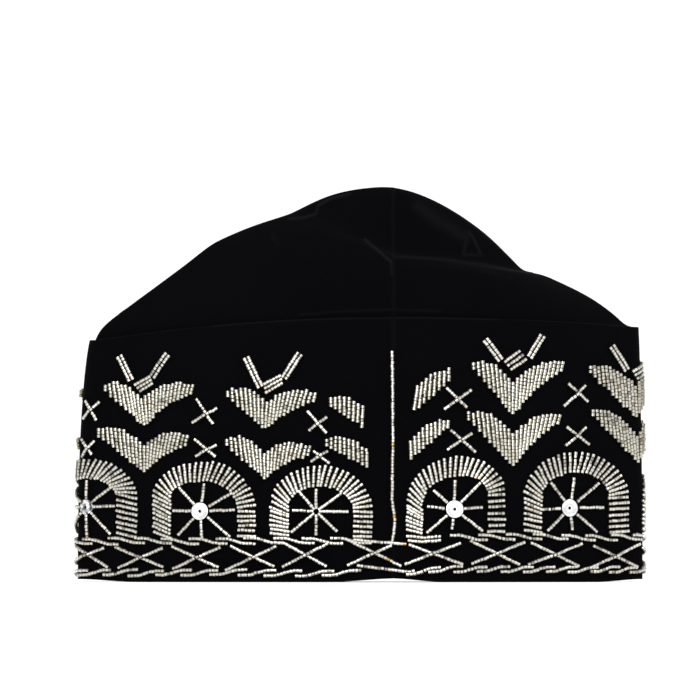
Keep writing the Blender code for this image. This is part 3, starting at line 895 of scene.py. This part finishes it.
def painted_flank_shade(corners, places, flank):
    """How bright each corner of each bead is: a painted shade darkens the flanks that turn from the cloth's
    normal, standing in for the shade between beads and the dark velvet they mirror; the crown is left
    unshaded.
    """
    across = np.einsum("vk,nkc->nvc", corners[:, :2], places[:, 1:3, :])
    across /= np.linalg.norm(across, axis=2, keepdims=True)
    height = np.einsum("nvc,nc->nv", across, places[:, 4, :])
    share = np.clip((height - flank.dull) / (flank.clean - flank.dull), 0.0, 1.0)[..., None]
    return lerp(np.array(flank.shade), 1.0, share)


def bead_colour():
    """Most beads are bright silver. Some have a warm or a grey lining."""
    pick = draw.random()
    shade = draw.uniform(BEAD_DIMMEST, 1.0)
    red, green, blue = next(row.colour for row in BEAD_COLOURS if pick < row.up_to)
    return (red * shade, green * shade, blue * shade, 1.0)


def model_bead():
    """A bead, one across and one long, with its ends drawn in. Its string would run along Z."""
    deselect()
    body = 1.0 - 2.0 * BEAD_NOSE
    bpy.ops.mesh.primitive_cylinder_add(vertices=BEAD_SIDES, radius=0.5, depth=body, end_fill_type="NGON")
    bead = bpy.context.object
    bpy.ops.object.mode_set(mode="EDIT")
    bpy.ops.mesh.select_mode(type="FACE")
    bpy.ops.mesh.select_all(action="DESELECT")
    bpy.ops.object.mode_set(mode="OBJECT")
    for polygon in bead.data.polygons:
        polygon.select = abs(polygon.normal.z) > END_TURN
    bpy.ops.object.mode_set(mode="EDIT")
    bpy.ops.mesh.inset(thickness=BEAD_FACE, depth=BEAD_NOSE)
    bpy.ops.object.mode_set(mode="OBJECT")
    corners = np.array([vertex.co for vertex in bead.data.vertices], float).reshape(-1, 3)
    faces = [list(polygon.vertices) for polygon in bead.data.polygons]
    bpy.data.objects.remove(bead, do_unlink=True)
    return corners, faces


def sew_leaf(work, top_a, foot_a, top_b, foot_b, bow, foot_bow=0.0, sway=0.0, first=0):
    """A leaf of upright strings, from one edge to the other. Their feet sway along its lower edge."""
    width = abs(top_b.x - top_a.x)
    count = max(2, round(width / COLUMN_PITCH))
    for column in range(first, count + 1):
        share = column / count
        arch = math.sin(math.pi * share)
        top = lerp(top_a, top_b, share) + Vector((0.0, bow * arch + draw.gauss(0.0, LEAF_STRAY)))
        foot = lerp(foot_a, foot_b, share + arch * sway / width)
        work.string((top, foot + Vector((0.0, foot_bow * arch + draw.gauss(0.0, LEAF_STRAY)))))


def sew_chevron(work, left, notch, point, right, tip):
    """Two leaves that meet in the middle."""
    down = Vector((0.0, -tip))
    sew_leaf(work, left, left + down, notch, point, CHEVRON_BOW, sway=CHEVRON_SWAY)
    inward = Vector((-tip * TIP_LEAN, -tip * TIP_DROP))
    sew_leaf(work, notch, point, right, right + inward, CHEVRON_BOW, CHEVRON_FOOT_BOW, -CHEVRON_SWAY, first=1)


def sew_antler(work, top, foot):
    aside = (foot - top).normalized().orthogonal() * ANTLER_SPACING / 2.0
    for way in (-1.0, 1.0):
        work.string((top + aside * way, foot + aside * way))


def sew_bar(work, first, last):
    """A few short strings side by side, from the first to the last. Each is a pair of ends."""
    for index in range(BAR_STRINGS):
        share = index / (BAR_STRINGS - 1)
        work.string((lerp(first[0], last[0], share), lerp(first[1], last[1], share)))


def sew_cross(work, under, over):
    work.string(under)
    work.string(over, over=True)


def arch_string(arch, strings, angle):
    """The outer and the inner end of a string of the arch. The angle runs from pi at the left spring to 0."""
    share = 1.0 - angle / math.pi
    left = share < 0.5
    spring = arch.left_spring if left else arch.right_spring
    outer = arch.apex - arch.left if left else arch.right - arch.apex
    inner = arch.apex - arch.left_inner if left else arch.right_inner - arch.apex
    waning = max(0.0, 1.0 - share / LEAN_SHARE)
    lean = math.radians(strings.left_lean * waning - strings.right_lean * share)
    stretch = math.hypot(inner * math.sin(angle), (arch.top_inner - spring) * math.cos(angle))
    turned = angle + math.tan(lean) * (outer - inner) / stretch
    on_arch = min(max(turned, 0.0), math.pi)
    rise = math.sin(on_arch) - abs(turned - on_arch)  # an end that turns past the spring goes straight down
    return (
        Vector((arch.apex + outer * math.cos(angle), lerp(spring, arch.top, math.sin(angle)))),
        Vector((arch.apex + inner * math.cos(on_arch), lerp(spring, arch.top_inner, rise))),
    )


def arch_strings(arch, strings):
    """The strings of the arch, evenly spaced along its outer edge."""
    angles = np.linspace(math.pi, 0.0, ARCH_STEPS)
    edge = np.array([arch_string(arch, strings, angle)[0] for angle in angles])
    travelled = np.concatenate(((0.0,), np.cumsum(np.linalg.norm(np.diff(edge, axis=0), axis=1))))
    even = np.linspace(0.0, travelled[-1], strings.arch_count + 1)
    return [arch_string(arch, strings, float(angle)) for angle in np.interp(even, travelled, angles)]


def leg_strings(outer, inner, spring, foot, pitch, head_lean, foot_lean):
    """The strings of a leg, from its head down."""
    count = int((spring - foot) / pitch)
    for step in range(1, count + 1):
        share = step / count
        drop = math.tan(math.radians(lerp(head_lean, foot_lean, share))) * abs(outer - inner)
        up = spring - step * pitch + share * drop / 2.0
        yield Vector((outer, up)), Vector((inner, up - drop))


def sew_wheel(work, lay, wheel):
    """An arch of short strings on two legs, and its spokes. lay brings a place by the hub to the cloth."""
    arch, strings = wheel.arch, wheel.strings
    left_leg = leg_strings(
        arch.left, arch.left_inner, arch.left_spring, arch.foot,
        strings.left_pitch, strings.left_lean, strings.foot_lean,
    )
    right_leg = leg_strings(
        arch.right, arch.right_inner, arch.right_spring, arch.foot,
        strings.right_pitch, strings.right_lean, strings.right_lean,
    )
    for outer, inner in [*reversed(list(left_leg)), *arch_strings(arch, strings), *right_leg]:
        aside = (outer - inner).orthogonal().normalized()
        run = (outer - inner).normalized()
        ends = []
        for end in (outer, inner):
            beside = end + aside * draw.gauss(0.0, STRING_ASIDE)
            ends.append(lay(beside + run * draw.gauss(0.0, STRING_BEYOND)))
        work.string(ends)
    for angle, reach in wheel.spokes:
        way = Vector((math.cos(math.radians(angle)), math.sin(math.radians(angle))))
        work.string((lay(way * wheel.clear), lay(way * reach)))


def border_rise(along):
    return float(np.interp(along, RISE_SPAN, (0.0, BORDER_RISE, BORDER_RISE, 0.0)))


def sew_border_line(work, line, start, end):
    """Strings that overlap end to end, each running up or down to the next in a soft S."""
    count = max(1, round((end - start - line.length) / line.pitch))
    for index in range(count + 1):
        left = lerp(start, end - line.length, index / count) + draw.gauss(0.0, BORDER_STRAY)
        path = []
        for share in np.linspace(0.0, 1.0, BORDER_POINTS):
            swing = min(max((share - BORDER_LEVEL) / (1.0 - 2.0 * BORDER_LEVEL), 0.0), 1.0)
            ease = swing * swing * (3.0 - 2.0 * swing)
            along = left + share * line.length
            path.append(Vector((along, line.height + line.rise * ease + border_rise(along))))
        drift = Vector((0.0, draw.gauss(0.0, BORDER_DRIFT)))
        work.string([point + drift for point in path])


def sew_even_cross(work, middle, half_width, top, foot):
    """A cross round the back, the same on both sides of its middle."""
    left, right = middle - half_width, middle + half_width
    sew_cross(
        work,
        (Vector((left, top)), Vector((right, foot))),
        (Vector((left, foot)), Vector((right, top))),
    )


def charted(cloth, row):
    """The four places with which a row of a chart begins, brought to the flat cloth."""
    return [cloth.from_photo(x, y) for x, y in zip(row[:8:2], row[1:8:2])]


def sew_front(cloth, works):
    for row in CHEVRONS:
        work = works["chevrons_left" if row.notch_x < SEAM_PIXEL else "chevrons_right"]
        left, notch, point, right = charted(cloth, row)
        sew_chevron(work, left, notch, point, right, TIP_LENGTH * PIXEL)
    for row in SEAM_LEAVES:
        work = works["chevrons_left" if row.left_x < SEAM_PIXEL else "chevrons_right"]
        left, left_foot, right, right_foot = charted(cloth, row)
        sew_leaf(work, left, left_foot, right, right_foot, row.bow)
    for row in ANTLERS:
        left, left_foot, right, right_foot = charted(cloth, row)
        sew_antler(works["antlers"], left, left_foot)
        sew_antler(works["antlers"], right, right_foot)
    for row in BARS:
        start, end, last_start, last_end = charted(cloth, row)
        sew_bar(works["antlers"], (start, end), (last_start, last_end))
    for rows, work in ((CROSSES, works["crosses"]), (LONG_CROSSES, works["border"])):
        for row in rows:
            under, under_end, over, over_end = charted(cloth, row)
            sew_cross(work, (under, under_end), (over, over_end))
    for line in SEAM_STRINGS:
        works["border"].string([cloth.from_photo(x, y) for x, y in line])
    works["seam"].string([cloth.from_photo(x, y) for x, y in FRONT_SEAM_LINE])


def sew_back_chevrons(work, antlers, middle):
    for row in BACK_CHEVRONS:
        sew_chevron(
            work, Vector((middle - BACK_CHEVRON_HALF, row.tip)), Vector((middle, row.notch)),
            Vector((middle, row.point)), Vector((middle + BACK_CHEVRON_HALF, row.tip)), BACK_TIP_LENGTH,
        )
    for side in (-1.0, 1.0):
        top = Vector((middle + side * BACK_ANTLER.top_x, BACK_ANTLER.top))
        sew_antler(antlers, top, Vector((middle + side * BACK_ANTLER.foot_x, BACK_ANTLER.foot)))
    centre = Vector((middle, BACK_BAR_HEIGHT))
    ends = centre - BACK_BAR_END, centre + BACK_BAR_END
    drop = Vector((0.0, -BACK_BAR))
    sew_bar(antlers, ends, (ends[0] + drop, ends[1] + drop))


def find_hubs(cloth):
    """The hubs of the wheels on the flat cloth, by the side of the seam and counted from it."""
    hubs = {-1: [cloth.from_photo(*BARE_HUB)], 1: []}
    for node in sorted(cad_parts):
        if node.startswith("sequin"):
            low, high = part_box(node)
            hubs[-1 if "left" in node else 1].append(cloth.flat_place((low + high) / 2.0))
    for row in hubs.values():
        row.sort(key=lambda place: abs(place.x))
    return hubs


def sew_half(cloth, works, side, hubs):
    """The wheels of one half, and round the back the chevrons between them and the crosses over them."""
    word = "left" if side < 0 else "right"
    half_way = cloth.length(side) / 2.0
    for index, hub in enumerate(hubs):
        lay = cloth.seen_beside(hub) if abs(hub.x) < half_way else cloth.flat_beside(hub)
        sew_wheel(works[f"wheels_{word}"], lay, WHEELS.get((side, index), EVEN_WHEEL))
    behind = [hub for hub in hubs if abs(hub.x) > half_way]
    back_seam = Vector((side * cloth.length(side), behind[-1].y))
    stops = [hubs[-len(behind) - 1], *behind, back_seam]
    if side > 0:  # the front's chart already has the chevrons on the right side fold
        del stops[0]
    for before, after in zip(stops, stops[1:]):
        sew_back_chevrons(works[f"chevrons_{word}"], works["antlers"], (before.x + after.x) / 2.0)
    for hub in behind:
        for height in BACK_CROSSES:
            top, foot = height + BACK_CROSS_HALF_HEIGHT, height - BACK_CROSS_HALF_HEIGHT
            sew_even_cross(works["crosses"], hub.x, BACK_CROSS_HALF_WIDTH, top, foot)
    return back_seam


def sew_border(cloth, work):
    left, right = -cloth.length(-1, BORDER_COURSE), cloth.length(1, BORDER_COURSE)
    for line in BORDER_LINES:
        start, end = (left, -line.start) if line.side < 0 else (line.start, right)
        sew_border_line(work, line, start, end)
    cross = BACK_LONG_CROSS
    first = cloth.from_photo(cross.first, BORDER_MIDDLE).x
    last = cloth.from_photo(cross.last, BORDER_MIDDLE).x
    for seam, end in ((left, first), (right, last)):
        count = round(abs(end - seam) / cross.pitch)
        for index in range(count):
            middle = lerp(seam, end, (index + 0.5) / (count + 0.5))
            sew_even_cross(work, middle, cross.half_width, cross.top, cross.foot)


def sew_all(cloth):
    names = (
        "chevrons_left", "chevrons_right", "wheels_left", "wheels_right",
        "antlers", "crosses", "border", "seam",
    )
    works = {name: Beadwork(f"beads_{name}", cloth) for name in names}
    sew_front(cloth, works)
    for side, hubs in find_hubs(cloth).items():
        back_seam = sew_half(cloth, works, side, hubs)
    bare = EVEN_WHEEL._replace(clear=BARE_HUB_CLEAR)
    sew_wheel(works["wheels_right"], cloth.flat_beside(back_seam), bare)
    sew_border(cloth, works["border"])
    heights = np.linspace(BACK_SEAM_TOP, BACK_SEAM_FOOT, BACK_SEAM_POINTS)
    works["seam"].string([Vector((cloth.length(1, height), height)) for height in heights])
    return works


def gild_stray_beads(cloth, works):
    """A few gold beads have strayed in among the silver ones."""
    for x, y in GOLD_BEADS:
        point = cloth.point(*cloth.from_photo(x, y))
        _gap, name, bead = min(
            ((place[0] - point).length, name, index)
            for name, work in works.items() for index, place in enumerate(work.places)
        )
        works[name].colours[bead] = GOLD


# The sequins
def crush_foil(mesh, crushed):
    """One sequin is bent round the side fold and crumpled. A painted shade darkens it, standing in for the
    dark surroundings that it mirrors, most of all in the hollows of its crumples.
    """
    foil_painted_shade = np.zeros(len(mesh.vertices), np.float32)
    if crushed:
        for vertex in mesh.vertices:
            vertex.co.xy *= CRUSHED_SHARE
            crumple = noise.noise(Vector((vertex.co.x, vertex.co.y, 0.0)) / CRUMPLE_SIZE)
            vertex.co.z += CRUMPLE_HEIGHT * crumple - vertex.co.x**2 / (2.0 * CRUSHED_BEND)
            foil_painted_shade[vertex.index] = min(max(FOIL_SHADE_LEVEL - FOIL_SHADE_DEPTH * crumple, 0.0), 1.0)
    add_values(mesh, "foil_painted_shade", foil_painted_shade)


def model_foil(radius, half_thickness):
    """A thin round foil, dished round its hole. Its middle is at the origin, and its front looks up."""
    deselect()
    inner = SEQUIN_HOLE
    bpy.ops.mesh.primitive_circle_add(vertices=SEQUIN_SIDES, radius=inner.share * radius, location=(0, 0, 0))
    piece = bpy.context.object
    bpy.ops.object.mode_set(mode="EDIT")
    bpy.ops.transform.translate(value=(0.0, 0.0, inner.height * half_thickness))
    for ring in SEQUIN_RINGS:
        step = (0.0, 0.0, (ring.height - inner.height) * half_thickness)
        bpy.ops.mesh.extrude_edges_move(TRANSFORM_OT_translate={"value": step})
        grown = ring.share / inner.share
        bpy.ops.transform.resize(value=(grown, grown, 1.0))
        inner = ring
    bpy.ops.mesh.select_all(action="SELECT")
    bpy.ops.mesh.normals_make_consistent(inside=False)
    bpy.ops.object.mode_set(mode="OBJECT")
    thick = piece.modifiers.new("foil", "SOLIDIFY")
    thick.thickness = SEQUIN_FOIL
    thick.offset = 0.0
    bpy.ops.object.modifier_apply(modifier=thick.name)
    return piece


def sew_sequin(node, material):
    """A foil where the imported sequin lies, turned as it is."""
    corners = np.array([vertex.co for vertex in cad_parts[node].data.vertices], float).reshape(-1, 3)
    middle = corners.mean(0)
    _values, axes = np.linalg.eigh(np.cov((corners - middle).T))
    normal = Vector(axes[:, 0])
    if normal.y * middle[1] < 0.0:
        normal = -normal
    radius = max(np.linalg.norm(corners - middle, axis=1))
    half_thickness = np.abs((corners - middle) @ np.array(normal)).max()
    piece = model_foil(radius, half_thickness)
    piece.name = f"foil_{node}"
    crush_foil(piece.data, node == CRUSHED_SEQUIN)
    turn = normal.to_track_quat("Z", "Y").to_matrix().to_4x4()
    piece.data.transform(Matrix.Translation(Vector(middle)) @ turn)
    dress(piece, material)
    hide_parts(node)
    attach(piece, "root")


# The studio
def build_studio():
    deselect()
    bpy.ops.mesh.primitive_plane_add(size=FLOOR_SIZE)
    floor = bpy.context.object
    floor.name = "studio_floor"
    material, _tree, shader = new_material("white_paper")
    set_inputs(shader, Base_Color=(*[FLOOR_WHITE] * 3, 1.0), Roughness=0.9, Specular_IOR_Level=0.0)
    floor.data.materials.append(material)
    world = bpy.data.worlds.new("white_studio")
    world.use_nodes = True
    tree = world.node_tree
    sky = tree.nodes["Background"]
    set_inputs(sky, Color=(1.0, 1.0, 1.0, 1.0))
    path = tree.nodes.new("ShaderNodeLightPath")
    strength = ramp(tree, path.outputs["Is Glossy Ray"], 0.0, 1.0, SKY_STRENGTH, SKY_MIRRORED)
    tree.links.new(strength, sky.inputs["Strength"])
    bpy.context.scene.world = world
    for softbox in SOFTBOXES:
        bpy.ops.object.light_add(type="AREA", location=softbox.place)
        light = bpy.context.object
        light.name = softbox.name
        light.data.size = softbox.size
        light.data.energy = softbox.power
        way = SOFTBOX_AIM - Vector(softbox.place)
        light.rotation_euler = way.to_track_quat("-Z", "Y").to_euler()
    bpy.context.scene.view_settings.view_transform = "Standard"


deselect()
camera = place_camera()
patches = speckle_group()
velvet = velvet_material(patches)
band = [lay_velvet(node, camera, velvet) for node in ("band_left", "band_right")]
for node in ("crown_left", "crown_right"):
    lay_velvet(node, camera, velvet)
seam_x = (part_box("band_left")[1].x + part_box("band_right")[0].x) / 2.0
cloth = FlatCloth(joined_tree(band), seam_x, camera)
works = sew_all(cloth)
gild_stray_beads(cloth, works)
bead = model_bead()
glass = bead_material(patches)
for work in works.values():
    work.mesh(bead, glass)
foil = sequin_material(patches)
for node in sorted(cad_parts):
    if node.startswith("sequin"):
        sew_sequin(node, foil)
build_studio()
